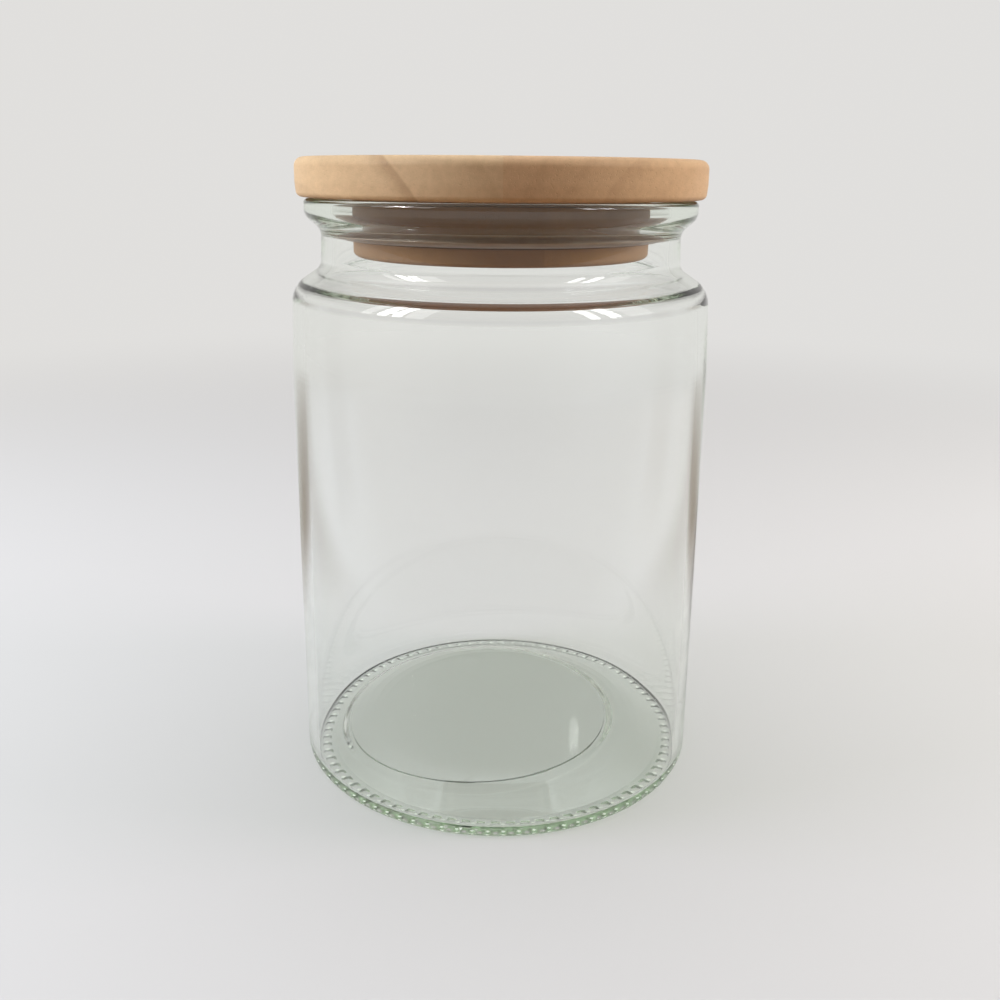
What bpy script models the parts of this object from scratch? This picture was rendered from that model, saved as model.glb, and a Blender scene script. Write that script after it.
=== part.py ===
"""A round glass storage jar with a push-in wooden lid and a silicone sealing ring.

Metres, +Z up. The origin is the centre of the jar's foot, on the surface that it stands on.
The jar is one piece of glass. The lid is a wooden disc with a wooden plug glued under it, and the
sealing ring sits in a groove of the plug. The lid pulls straight up out of the neck, and turns in it.
"""

import math

import bmesh
import bpy
from mathutils import Matrix, Vector

# Glass jar, outside
JAR_HEIGHT = 0.1408
BODY_RADIUS = 0.0510
BODY_TAPER = 0.00075
BODY_TAPER_DROP = 0.0398
HEEL_FILLET = 0.0018
SHOULDER_WIDTH = 0.00715
SHOULDER_DROP = 0.02045
SHOULDER_RISE = 0.0046
SHOULDER_FILLET = 0.0060
NECK_FOOT_FLARE = 0.0003
NECK_FILLET = 0.0030
RIM_REACH = 0.0038
RIM_SIDE_HEIGHT = 0.0039
RIM_UNDERCUT_HEIGHT = 0.0033
RIM_TOP_FILLET = 0.0012
RIM_FOOT_FILLET = 0.0030

# Glass jar, inside
BODY_WALL = 0.0025
NECK_WALL = 0.0026
FLOOR_THICKNESS = 0.0036
CROWN_FILLET = 0.0200
CROWN_SLOPE_WIDTH = 0.0106
MOAT_THICKNESS = 0.0016
MOAT_WIDTH = 0.0029
MOAT_FILLET = 0.0070
FLOOR_CORNER_FILLET = 0.0014

# Glass jar, under the foot
FOOT_RING_WIDTH = 0.0058
PUSH_UP_HEIGHT = 0.0022
PUSH_UP_SLOPE_WIDTH = 0.0064
PUSH_UP_FILLET = 0.0040
PRESS_MARK_LEDGE = 0.0040
PRESS_MARK_SHIFT_X = -0.0046
PRESS_MARK_SHIFT_Y = 0.0006
PRESS_MARK_DEPTH = 0.0005
KNURL_PITCH = 0.00345
KNURL_LENGTH = 0.0030
KNURL_WIDTH = 0.0014
KNURL_DEPTH = 0.00055

# Lid
DISC_OVERHANG = 0.0018
DISC_THICKNESS = 0.0089
DISC_TOP_FILLET = 0.0030
DISC_BEVEL_WIDTH = 0.0008
DISC_BEVEL_HEIGHT = 0.0026
PLUG_HEIGHT = 0.0135
PLUG_FOOT_FILLET = 0.0010
GROOVE_DROP = 0.0036
GROOVE_HEIGHT = 0.0060
GROOVE_DEPTH = 0.0020

# Sealing ring
SEAL_BAND_STAND = 0.0014
SEAL_LIP_COUNT = 2
SEAL_LIP_THICKNESS = 0.0010
SEAL_LIP_LIFT = 0.0005

# Clearances
SEAT_GAP = 0.0003
GLUE_GAP = 0.0003
PLUG_NECK_GAP = 0.0049
SEAL_GROOVE_GAP = 0.0003
SEAL_NECK_GAP = 0.0003

# Radii that follow from the sizes above
BODY_TOP_RADIUS = BODY_RADIUS - BODY_TAPER
NECK_RADIUS = BODY_TOP_RADIUS - SHOULDER_WIDTH
MOUTH_RADIUS = NECK_RADIUS - NECK_WALL
RIM_RADIUS = NECK_RADIUS + RIM_REACH
MOAT_RADIUS = BODY_RADIUS - BODY_WALL - MOAT_WIDTH
CROWN_RADIUS = MOAT_RADIUS - CROWN_SLOPE_WIDTH
FOOT_RADIUS = BODY_RADIUS - HEEL_FILLET
FOOT_INNER_RADIUS = FOOT_RADIUS - FOOT_RING_WIDTH
PUSH_UP_RADIUS = FOOT_INNER_RADIUS - PUSH_UP_SLOPE_WIDTH
DISC_RADIUS = RIM_RADIUS + DISC_OVERHANG
PLUG_RADIUS = MOUTH_RADIUS - PLUG_NECK_GAP
GROOVE_RADIUS = PLUG_RADIUS - GROOVE_DEPTH
SEAL_BAND_RADIUS = PLUG_RADIUS + SEAL_BAND_STAND

# Fineness of the round shapes
TURN_STEPS = 64
ARC_STEP = math.radians(24)


def clear_scene():
    for thing in list(bpy.data.objects):
        bpy.data.objects.remove(thing, do_unlink=True)


def new_collection(name):
    collection = bpy.data.collections.new(name)
    bpy.context.scene.collection.children.link(collection)
    return collection


def new_material(name, colour, roughness, transmission=0.0):
    material = bpy.data.materials.new(name)
    material.use_nodes = True
    shader = material.node_tree.nodes["Principled BSDF"]
    shader.inputs["Base Color"].default_value = (*colour, 1.0)
    shader.inputs["Roughness"].default_value = roughness
    shader.inputs["Metallic"].default_value = 0.0
    shader.inputs["Transmission Weight"].default_value = transmission
    material.diffuse_color = (*colour, 1.0)
    return material


def rounded(corners):
    """The outline through corners of (radius, height, fillet), with each fillet as a short arc."""
    points = []
    last = len(corners) - 1
    for index, (radius, height, fillet) in enumerate(corners):
        here = Vector((radius, height))
        if index in (0, last) or fillet <= 0.0:
            points.append(here)
            continue
        back = Vector(corners[index - 1][:2]) - here
        ahead = Vector(corners[index + 1][:2]) - here
        turn = math.pi - back.angle(ahead)
        reach = min(fillet * math.tan(turn / 2), 0.49 * back.length, 0.49 * ahead.length)
        fitted = reach / math.tan(turn / 2)
        start = here + back.normalized() * reach
        centre = here + (back.normalized() + ahead.normalized()).normalized() * (
            fitted / math.cos(turn / 2)
        )
        side = 1.0 if back.x * ahead.y - back.y * ahead.x < 0.0 else -1.0
        steps = max(1, math.ceil(turn / ARC_STEP))
        for step in range(steps + 1):
            swing = Matrix.Rotation(side * turn * step / steps, 2)
            points.append(centre + swing @ (start - centre))
    return points


def turned(name, outline, collection, material):
    """A solid of revolution: an outline at +X turned once round Z by a Screw modifier."""
    mesh = bpy.data.meshes.new(name)
    shape = bmesh.new()
    corners = [shape.verts.new((point.x, 0.0, point.y)) for point in outline]
    for before, after in zip(corners, corners[1:]):
        shape.edges.new((before, after))
    if outline[0].x > 0.0:
        shape.edges.new((corners[-1], corners[0]))
    shape.to_mesh(mesh)
    shape.free()
    thing = bpy.data.objects.new(name, mesh)
    collection.objects.link(thing)
    mesh.materials.append(material)
    screw = thing.modifiers.new("Turn", "SCREW")
    screw.steps = TURN_STEPS
    screw.render_steps = TURN_STEPS
    screw.use_merge_vertices = True
    screw.merge_threshold = 0.00001
    screw.use_smooth_shade = True
    return thing


def as_cutter(name, shape, collection):
    """The bmesh as an object that only cuts others."""
    bmesh.ops.recalc_face_normals(shape, faces=shape.faces)
    mesh = bpy.data.meshes.new(name)
    shape.to_mesh(mesh)
    shape.free()
    thing = bpy.data.objects.new(name, mesh)
    thing.hide_render = True
    thing.display_type = "WIRE"
    collection.objects.link(thing)
    return thing


def cut(thing, cutter, name):
    boolean = thing.modifiers.new(name, "BOOLEAN")
    boolean.operation = "DIFFERENCE"
    boolean.solver = "EXACT"
    boolean.object = cutter


def jar_outline():
    """The glass section from the middle of the floor, up inside, over the rim and down to the foot."""
    rim_foot = JAR_HEIGHT - RIM_SIDE_HEIGHT
    neck_top = rim_foot - RIM_UNDERCUT_HEIGHT
    shoulder = JAR_HEIGHT - SHOULDER_DROP
    neck_foot = shoulder + SHOULDER_RISE
    taper_foot = JAR_HEIGHT - BODY_TAPER_DROP
    floor = PUSH_UP_HEIGHT + FLOOR_THICKNESS
    slope = math.atan2(SHOULDER_RISE, SHOULDER_WIDTH)
    inner_shoulder = shoulder - BODY_WALL * math.tan((math.pi / 2 - slope) / 2)
    inner_width = BODY_TOP_RADIUS - BODY_WALL - MOUTH_RADIUS
    inside = [
        (0.0, floor, 0.0),
        (CROWN_RADIUS, floor, CROWN_FILLET),
        (MOAT_RADIUS, MOAT_THICKNESS, MOAT_FILLET),
        (BODY_RADIUS - BODY_WALL, MOAT_THICKNESS, FLOOR_CORNER_FILLET),
        (BODY_RADIUS - BODY_WALL, taper_foot, 0.0),
        (BODY_TOP_RADIUS - BODY_WALL, inner_shoulder, SHOULDER_FILLET - BODY_WALL),
        (MOUTH_RADIUS, inner_shoulder + inner_width * math.tan(slope), NECK_FILLET + NECK_WALL),
    ]
    rim = [
        (MOUTH_RADIUS, JAR_HEIGHT, RIM_TOP_FILLET),
        (RIM_RADIUS, JAR_HEIGHT, RIM_TOP_FILLET),
        (RIM_RADIUS, rim_foot, RIM_FOOT_FILLET),
        (NECK_RADIUS, neck_top, NECK_FILLET),
    ]
    outside = [
        (NECK_RADIUS + NECK_FOOT_FLARE, neck_foot, NECK_FILLET),
        (BODY_TOP_RADIUS, shoulder, SHOULDER_FILLET),
        (BODY_RADIUS, taper_foot, 0.0),
        (BODY_RADIUS, 0.0, HEEL_FILLET),
    ]
    foot = [
        (FOOT_INNER_RADIUS, 0.0, 0.0),
        (PUSH_UP_RADIUS, PUSH_UP_HEIGHT, PUSH_UP_FILLET),
        (0.0, PUSH_UP_HEIGHT, 0.0),
    ]
    return rounded(inside + rim + outside + foot)


def disc_outline():
    """Half the section of the lid's disc, with its underside at height 0."""
    return rounded(
        [
            (0.0, DISC_THICKNESS, 0.0),
            (DISC_RADIUS, DISC_THICKNESS, DISC_TOP_FILLET),
            (DISC_RADIUS, DISC_BEVEL_HEIGHT, 0.0),
            (DISC_RADIUS - DISC_BEVEL_WIDTH, 0.0, 0.0),
            (0.0, 0.0, 0.0),
        ]
    )


def plug_outline():
    """Half the section of the plug, with the groove that holds the sealing ring."""
    groove_top = -GLUE_GAP - GROOVE_DROP
    groove_foot = groove_top - GROOVE_HEIGHT
    plug_foot = -GLUE_GAP - PLUG_HEIGHT
    return rounded(
        [
            (0.0, -GLUE_GAP, 0.0),
            (PLUG_RADIUS, -GLUE_GAP, 0.0),
            (PLUG_RADIUS, groove_top, 0.0),
            (GROOVE_RADIUS, groove_top, 0.0),
            (GROOVE_RADIUS, groove_foot, 0.0),
            (PLUG_RADIUS, groove_foot, 0.0),
            (PLUG_RADIUS, plug_foot, PLUG_FOOT_FILLET),
            (0.0, plug_foot, 0.0),
        ]
    )


def seal_outline():
    """The closed section of the sealing ring: a flat band with soft lips that point up and outwards."""
    inner = GROOVE_RADIUS + SEAL_GROOVE_GAP
    top = -GLUE_GAP - GROOVE_DROP - SEAL_GROOVE_GAP
    height = GROOVE_HEIGHT - 2 * SEAL_GROOVE_GAP
    tip = MOUTH_RADIUS - SEAL_NECK_GAP
    corners = [(inner, top, 0.0), (SEAL_BAND_RADIUS, top, 0.0)]
    for lip in range(SEAL_LIP_COUNT):
        root = top - height * (lip + 0.6) / SEAL_LIP_COUNT
        corners += [
            (SEAL_BAND_RADIUS, root + SEAL_LIP_THICKNESS / 2, 0.0),
            (tip, root + SEAL_LIP_LIFT + SEAL_LIP_THICKNESS / 4, 0.0),
            (tip, root + SEAL_LIP_LIFT - SEAL_LIP_THICKNESS / 4, 0.0),
            (SEAL_BAND_RADIUS, root - SEAL_LIP_THICKNESS / 2, 0.0),
        ]
    corners += [(SEAL_BAND_RADIUS, top - height, 0.0), (inner, top - height, 0.0)]
    return rounded(corners)


def knurl_cutter(collection):
    """Short V-shaped bars laid like spokes across the foot ring, one object that cuts all the knurls."""
    middle = (FOOT_RADIUS + FOOT_INNER_RADIUS) / 2
    count = round(math.tau * middle / KNURL_PITCH)
    shape = bmesh.new()
    for index in range(count):
        place = (
            Matrix.Rotation(math.tau * index / count, 4, "Z")
            @ Matrix.Translation((middle, 0.0, -KNURL_DEPTH))
            @ Matrix.Rotation(math.pi / 2, 4, "Y")
            @ Matrix.Diagonal((2 * KNURL_DEPTH, KNURL_WIDTH, 1.0, 1.0))
        )
        bmesh.ops.create_cone(
            shape, cap_ends=True, segments=4, radius1=1.0, radius2=1.0, depth=KNURL_LENGTH, matrix=place
        )
    return as_cutter("knurl_cutter", shape, collection)


def press_mark_cutter(collection):
    """A flat round plug that leaves the press's shallow mark in the underside, a little off centre."""
    shift = Vector((PRESS_MARK_SHIFT_X, PRESS_MARK_SHIFT_Y, 0.0))
    radius = FOOT_INNER_RADIUS - PRESS_MARK_LEDGE - shift.length
    shape = bmesh.new()
    bmesh.ops.create_cone(
        shape,
        cap_ends=True,
        segments=TURN_STEPS,
        radius1=radius,
        radius2=radius,
        depth=2 * (PUSH_UP_HEIGHT + PRESS_MARK_DEPTH),
        matrix=Matrix.Translation(shift),
    )
    return as_cutter("press_mark_cutter", shape, collection)


def weigh_normals(thing):
    """Shades the flats flat and the rounds round, without changing the shape."""
    thing.modifiers.new("Shading", "WEIGHTED_NORMAL")


def carried_by(carrier, *things):
    for thing in things:
        thing.parent = carrier


def build():
    clear_scene()
    parts = new_collection("storage_jar")
    cutters = new_collection("storage_jar_cutters")
    glass = new_material("clear_glass", (0.93, 0.97, 0.94), 0.02, transmission=1.0)
    wood = new_material("lid_wood", (0.74, 0.53, 0.36), 0.55)
    silicone = new_material("clear_silicone", (0.72, 0.70, 0.66), 0.45)

    jar = turned("jar", jar_outline(), parts, glass)
    cut(jar, knurl_cutter(cutters), "Knurls")
    cut(jar, press_mark_cutter(cutters), "Press mark")

    carrier = bpy.data.objects.new("lid_carrier", None)
    carrier.empty_display_size = 0.02
    carrier.location = (0.0, 0.0, JAR_HEIGHT + SEAT_GAP)
    parts.objects.link(carrier)
    disc = turned("lid_disc", disc_outline(), parts, wood)
    plug = turned("lid_plug", plug_outline(), parts, wood)
    seal = turned("sealing_ring", seal_outline(), parts, silicone)
    carried_by(carrier, disc, plug, seal)

    for thing in (jar, disc, plug, seal):
        weigh_normals(thing)


build()
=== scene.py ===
"""The looks of a round glass storage jar with a push-in wooden lid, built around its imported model.

Metres, +Z up. The jar's axis is the Z axis, it stands at height 0, and the viewer stands on the -Y side.
"""

import logging
import math
from dataclasses import dataclass, field
from enum import Enum

import bmesh
import bpy
from mathutils import Matrix, Vector, noise


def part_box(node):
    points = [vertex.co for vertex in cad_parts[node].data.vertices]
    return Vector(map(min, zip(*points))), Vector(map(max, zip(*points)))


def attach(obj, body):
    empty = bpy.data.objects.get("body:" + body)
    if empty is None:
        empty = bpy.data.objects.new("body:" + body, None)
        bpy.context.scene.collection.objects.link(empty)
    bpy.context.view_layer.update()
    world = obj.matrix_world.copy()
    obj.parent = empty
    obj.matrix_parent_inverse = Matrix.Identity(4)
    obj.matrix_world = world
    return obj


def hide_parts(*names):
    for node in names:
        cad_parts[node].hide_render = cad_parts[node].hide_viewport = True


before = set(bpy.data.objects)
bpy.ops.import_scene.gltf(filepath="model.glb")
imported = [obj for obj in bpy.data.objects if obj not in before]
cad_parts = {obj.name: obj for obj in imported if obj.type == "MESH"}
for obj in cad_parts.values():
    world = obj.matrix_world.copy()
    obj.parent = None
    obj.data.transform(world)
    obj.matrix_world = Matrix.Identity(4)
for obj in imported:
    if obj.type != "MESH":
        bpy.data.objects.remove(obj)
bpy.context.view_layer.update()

MM = 0.001
MERGE_DISTANCE = 1e-6
LOG = logging.getLogger("storage_jar")

Colour = tuple[float, float, float]
Range = tuple[float, float]
Stretch = tuple[float, float, float]


class Body(Enum):
    """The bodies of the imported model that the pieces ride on."""

    JAR = "jar"
    SEAL = "seal"
    LID = "lid"


class Slot(Enum):
    """The record's material slots."""

    GLASS = "clear_glass"
    WOOD = "lid_wood"
    SILICONE = "clear_silicone"


def smooth_step(low: float, high: float, value: float) -> float:
    """Eases from 0 at low to 1 at high.

    Args:
        low: The value that gives 0.
        high: The value that gives 1.
        value: The value to ease.

    Returns:
        A number from 0 to 1.
    """
    share = min(1.0, max(0.0, (value - low) / (high - low)))
    return share * share * (3.0 - 2.0 * share)


@dataclass(frozen=True)
class Corner:
    """A corner of a turned outline: its radius, its height and the fillet that rounds it."""

    radius: float
    height: float
    fillet: float = 0.0

    @property
    def point(self) -> Vector:
        """The corner on the outline's plane."""
        return Vector((self.radius, 0.0, self.height))


@dataclass
class Turning:
    """A solid that is turned round the Z axis from an outline.

    The outline starts and ends on the axis, or is closed.
    """

    corners: list[Corner]
    closed: bool = False
    steps: int = 168
    arc_step: float = math.radians(7.5)
    straight_step: float = 4.0 * MM
    support: float = 0.25 * MM
    fillet_room: float = 0.49

    def solid(self) -> bmesh.types.BMesh:
        """Turns the outline.

        Returns:
            The closed solid, with its faces pointing out.
        """
        shape = self.wire()
        bmesh.ops.spin(
            shape,
            geom=shape.verts[:] + shape.edges[:],
            cent=(0.0, 0.0, 0.0),
            axis=(0.0, 0.0, 1.0),
            angle=math.tau,
            steps=self.steps,
            use_merge=True,
        )
        bmesh.ops.remove_doubles(shape, verts=shape.verts, dist=MERGE_DISTANCE)
        bmesh.ops.recalc_face_normals(shape, faces=shape.faces)
        return shape

    def wire(self) -> bmesh.types.BMesh:
        """Draws the outline with its fillets and with extra points along its straights.

        Returns:
            The outline as a wire on the XZ plane.
        """
        shape = bmesh.new()
        verts = [shape.verts.new(corner.point) for corner in self.corners]
        for before, after in zip(verts, verts[1:]):
            shape.edges.new((before, after))
        if self.closed:
            shape.edges.new((verts[-1], verts[0]))
        for index, vert in enumerate(verts):
            self.round_off(shape, vert, index)
        self.split_straights(shape)
        return shape

    def round_off(self, shape: bmesh.types.BMesh, vert: bmesh.types.BMVert, index: int) -> None:
        """Rounds one corner with its fillet, as far as its two sides leave room.

        Args:
            shape: The wire.
            vert: The corner's vertex.
            index: The corner's place in the outline.
        """
        count = len(self.corners)
        corner = self.corners[index]
        if corner.fillet <= 0.0 or (not self.closed and index in (0, count - 1)):
            return
        back = self.corners[index - 1].point - corner.point
        ahead = self.corners[(index + 1) % count].point - corner.point
        turn = math.pi - back.angle(ahead)
        room = self.fillet_room * min(back.length, ahead.length)
        reach = min(corner.fillet * math.tan(turn / 2.0), room)
        bmesh.ops.bevel(
            shape,
            geom=[vert],
            offset=reach,
            offset_type="OFFSET",
            segments=max(2, math.ceil(turn / self.arc_step)),
            profile=0.5,
            affect="VERTICES",
            material=-1,
        )

    def split_straights(self, shape: bmesh.types.BMesh) -> None:
        """Puts a point close to both ends of each long straight, and points along it.

        Args:
            shape: The wire.
        """
        for edge in [edge for edge in shape.edges if edge.calc_length() > 4.0 * self.support]:
            first, last = edge.verts
            length = edge.calc_length()
            near = bmesh.utils.edge_split(edge, first, self.support / length)[1]
            rest = next(other for other in near.link_edges if last in other.verts)
            bmesh.utils.edge_split(rest, last, self.support / (length - self.support))
        for edge in [edge for edge in shape.edges if edge.calc_length() > self.straight_step]:
            cuts = math.ceil(edge.calc_length() / self.straight_step) - 1
            bmesh.ops.subdivide_edges(shape, edges=[edge], cuts=cuts)


class Piece:
    """A finished piece of the object."""

    @staticmethod
    def place(
        name: str, shape: bmesh.types.BMesh, material: bpy.types.Material, sharp: float | None = None
    ) -> bpy.types.Object:
        """Makes the object of a piece from its shape.

        Args:
            name: The object's name.
            shape: The shape, which is freed.
            material: The finish of all its faces.
            sharp: The angle in radians above which an edge stays sharp, or None to smooth all of them.

        Returns:
            The object, at the origin.
        """
        mesh = bpy.data.meshes.new(name)
        shape.to_mesh(mesh)
        shape.free()
        mesh.materials.append(material)
        mesh.shade_smooth()
        if sharp is not None:
            mesh.set_sharp_from_angle(angle=sharp)
        thing = bpy.data.objects.new(name, mesh)
        bpy.context.scene.collection.objects.link(thing)
        return thing

    @staticmethod
    def fit(thing: bpy.types.Object, body: Body, slot: Slot, *nodes: str) -> None:
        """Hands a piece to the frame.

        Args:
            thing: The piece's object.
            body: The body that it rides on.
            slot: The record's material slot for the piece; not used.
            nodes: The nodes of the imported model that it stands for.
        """
        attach(thing, body.value)
        if nodes:
            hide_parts(*nodes)
        LOG.info("%s rides on %s: %d vertices", thing.name, body.value, len(thing.data.vertices))


@dataclass
class Graph:
    """A node tree that is being wired."""

    tree: bpy.types.NodeTree

    def add(self, kind: str, sockets: dict | None = None, **settings: object) -> bpy.types.Node:
        """Adds a node.

        Args:
            kind: The node's type, without the leading ShaderNode.
            sockets: What each input takes, by name or number: another node's output, or a plain value.
            settings: The node's own properties.

        Returns:
            The node.
        """
        name = kind if kind.startswith("Node") else f"ShaderNode{kind}"
        node = self.tree.nodes.new(name)
        for key, value in settings.items():
            setattr(node, key, value)
        for key, value in (sockets or {}).items():
            if isinstance(value, bpy.types.NodeSocket):
                self.tree.links.new(value, node.inputs[key])
            else:
                node.inputs[key].default_value = value
        return node

    def math(self, operation: str, *values: object) -> bpy.types.NodeSocket:
        """Adds a sum of plain values and outputs, and returns its result."""
        return self.add("Math", dict(enumerate(values)), operation=operation).outputs["Value"]

    def vector_math(self, operation: str, **sockets: object) -> bpy.types.Node:
        """Adds a vector sum whose inputs are named v0, v1 and scale, and returns its node."""
        places = {"v0": 0, "v1": 1, "scale": "Scale"}
        return self.add(
            "VectorMath", {places[key]: value for key, value in sockets.items()}, operation=operation
        )

    def stretched(self, vector: bpy.types.NodeSocket, stretch: Stretch) -> bpy.types.NodeSocket:
        """Multiplies a point's X, Y and Z by their factors, and returns the result."""
        return self.vector_math("MULTIPLY", v0=vector, v1=stretch).outputs["Vector"]

    def noise(
        self, vector: bpy.types.NodeSocket, scale: object = 1.0, **more: float
    ) -> bpy.types.NodeSocket:
        """Adds a noise texture.

        Args:
            vector: The point that it reads.
            scale: How fine it is.
            more: Its other inputs, by name.

        Returns:
            The noise, from 0 to 1.
        """
        return self.add("TexNoise", {"Vector": vector, "Scale": scale, **more}).outputs["Fac"]

    def mix(
        self, factor: object, first: object, second: object, blend: str = "MIX"
    ) -> bpy.types.NodeSocket:
        """Adds a colour mix.

        Args:
            factor: How much of the second colour shows.
            first: The colour at 0.
            second: The colour at 1.
            blend: How the second colour is laid over the first.

        Returns:
            The mixed colour.
        """
        node = self.add("Mix", {0: factor, 6: first, 7: second}, data_type="RGBA", blend_type=blend)
        return node.outputs[2]

    def remap(
        self, value: object, low: float, high: float, start: float, end: float
    ) -> bpy.types.NodeSocket:
        """Adds a smooth step between two values.

        Args:
            value: The value to ease.
            low: The value that gives the start.
            high: The value that gives the end.
            start: What it gives up to low.
            end: What it gives from high on.

        Returns:
            The eased value.
        """
        node = self.add(
            "MapRange",
            {"Value": value, "From Min": low, "From Max": high, "To Min": start, "To Max": end},
            interpolation_type="SMOOTHSTEP",
        )
        return node.outputs["Result"]


def blank_material(name: str) -> tuple[bpy.types.Material, Graph]:
    """Makes a material with no nodes yet.

    Args:
        name: The material's name.

    Returns:
        The material and its graph.
    """
    material = bpy.data.materials.new(name)
    material.use_nodes = True
    material.node_tree.nodes.clear()
    return material, Graph(material.node_tree)


@dataclass
class EffectGroup:
    """A shader node group with named inputs and outputs, which puts out values and colours only."""

    name: str
    inputs: dict[str, tuple[str, object]]
    outputs: dict[str, str]
    tree: bpy.types.NodeTree = field(init=False)
    graph: Graph = field(init=False)
    source: bpy.types.Node = field(init=False)
    sink: bpy.types.Node = field(init=False)

    def __post_init__(self) -> None:
        """Makes the empty group with its sockets."""
        self.tree = bpy.data.node_groups.new(self.name, "ShaderNodeTree")
        for name, (kind, value) in self.inputs.items():
            socket = self.tree.interface.new_socket(name, in_out="INPUT", socket_type=f"NodeSocket{kind}")
            if value is not None:
                socket.default_value = value
        for name, kind in self.outputs.items():
            self.tree.interface.new_socket(name, in_out="OUTPUT", socket_type=f"NodeSocket{kind}")
        self.graph = Graph(self.tree)
        self.source = self.graph.add("NodeGroupInput")
        self.sink = self.graph.add("NodeGroupOutput")

    def put_out(self, name: str, socket: bpy.types.NodeSocket) -> None:
        """Feeds one of the group's outputs."""
        self.tree.links.new(socket, self.sink.inputs[name])

    def used_in(self, graph: Graph, **values: object) -> bpy.types.Node:
        """Places the group in a material.

        Args:
            graph: The material's graph.
            values: What its inputs take, with _ for each space in a name.

        Returns:
            The group's node.
        """
        sockets = {key.replace("_", " "): value for key, value in values.items()}
        return graph.add("Group", sockets, node_tree=self.tree)


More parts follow.
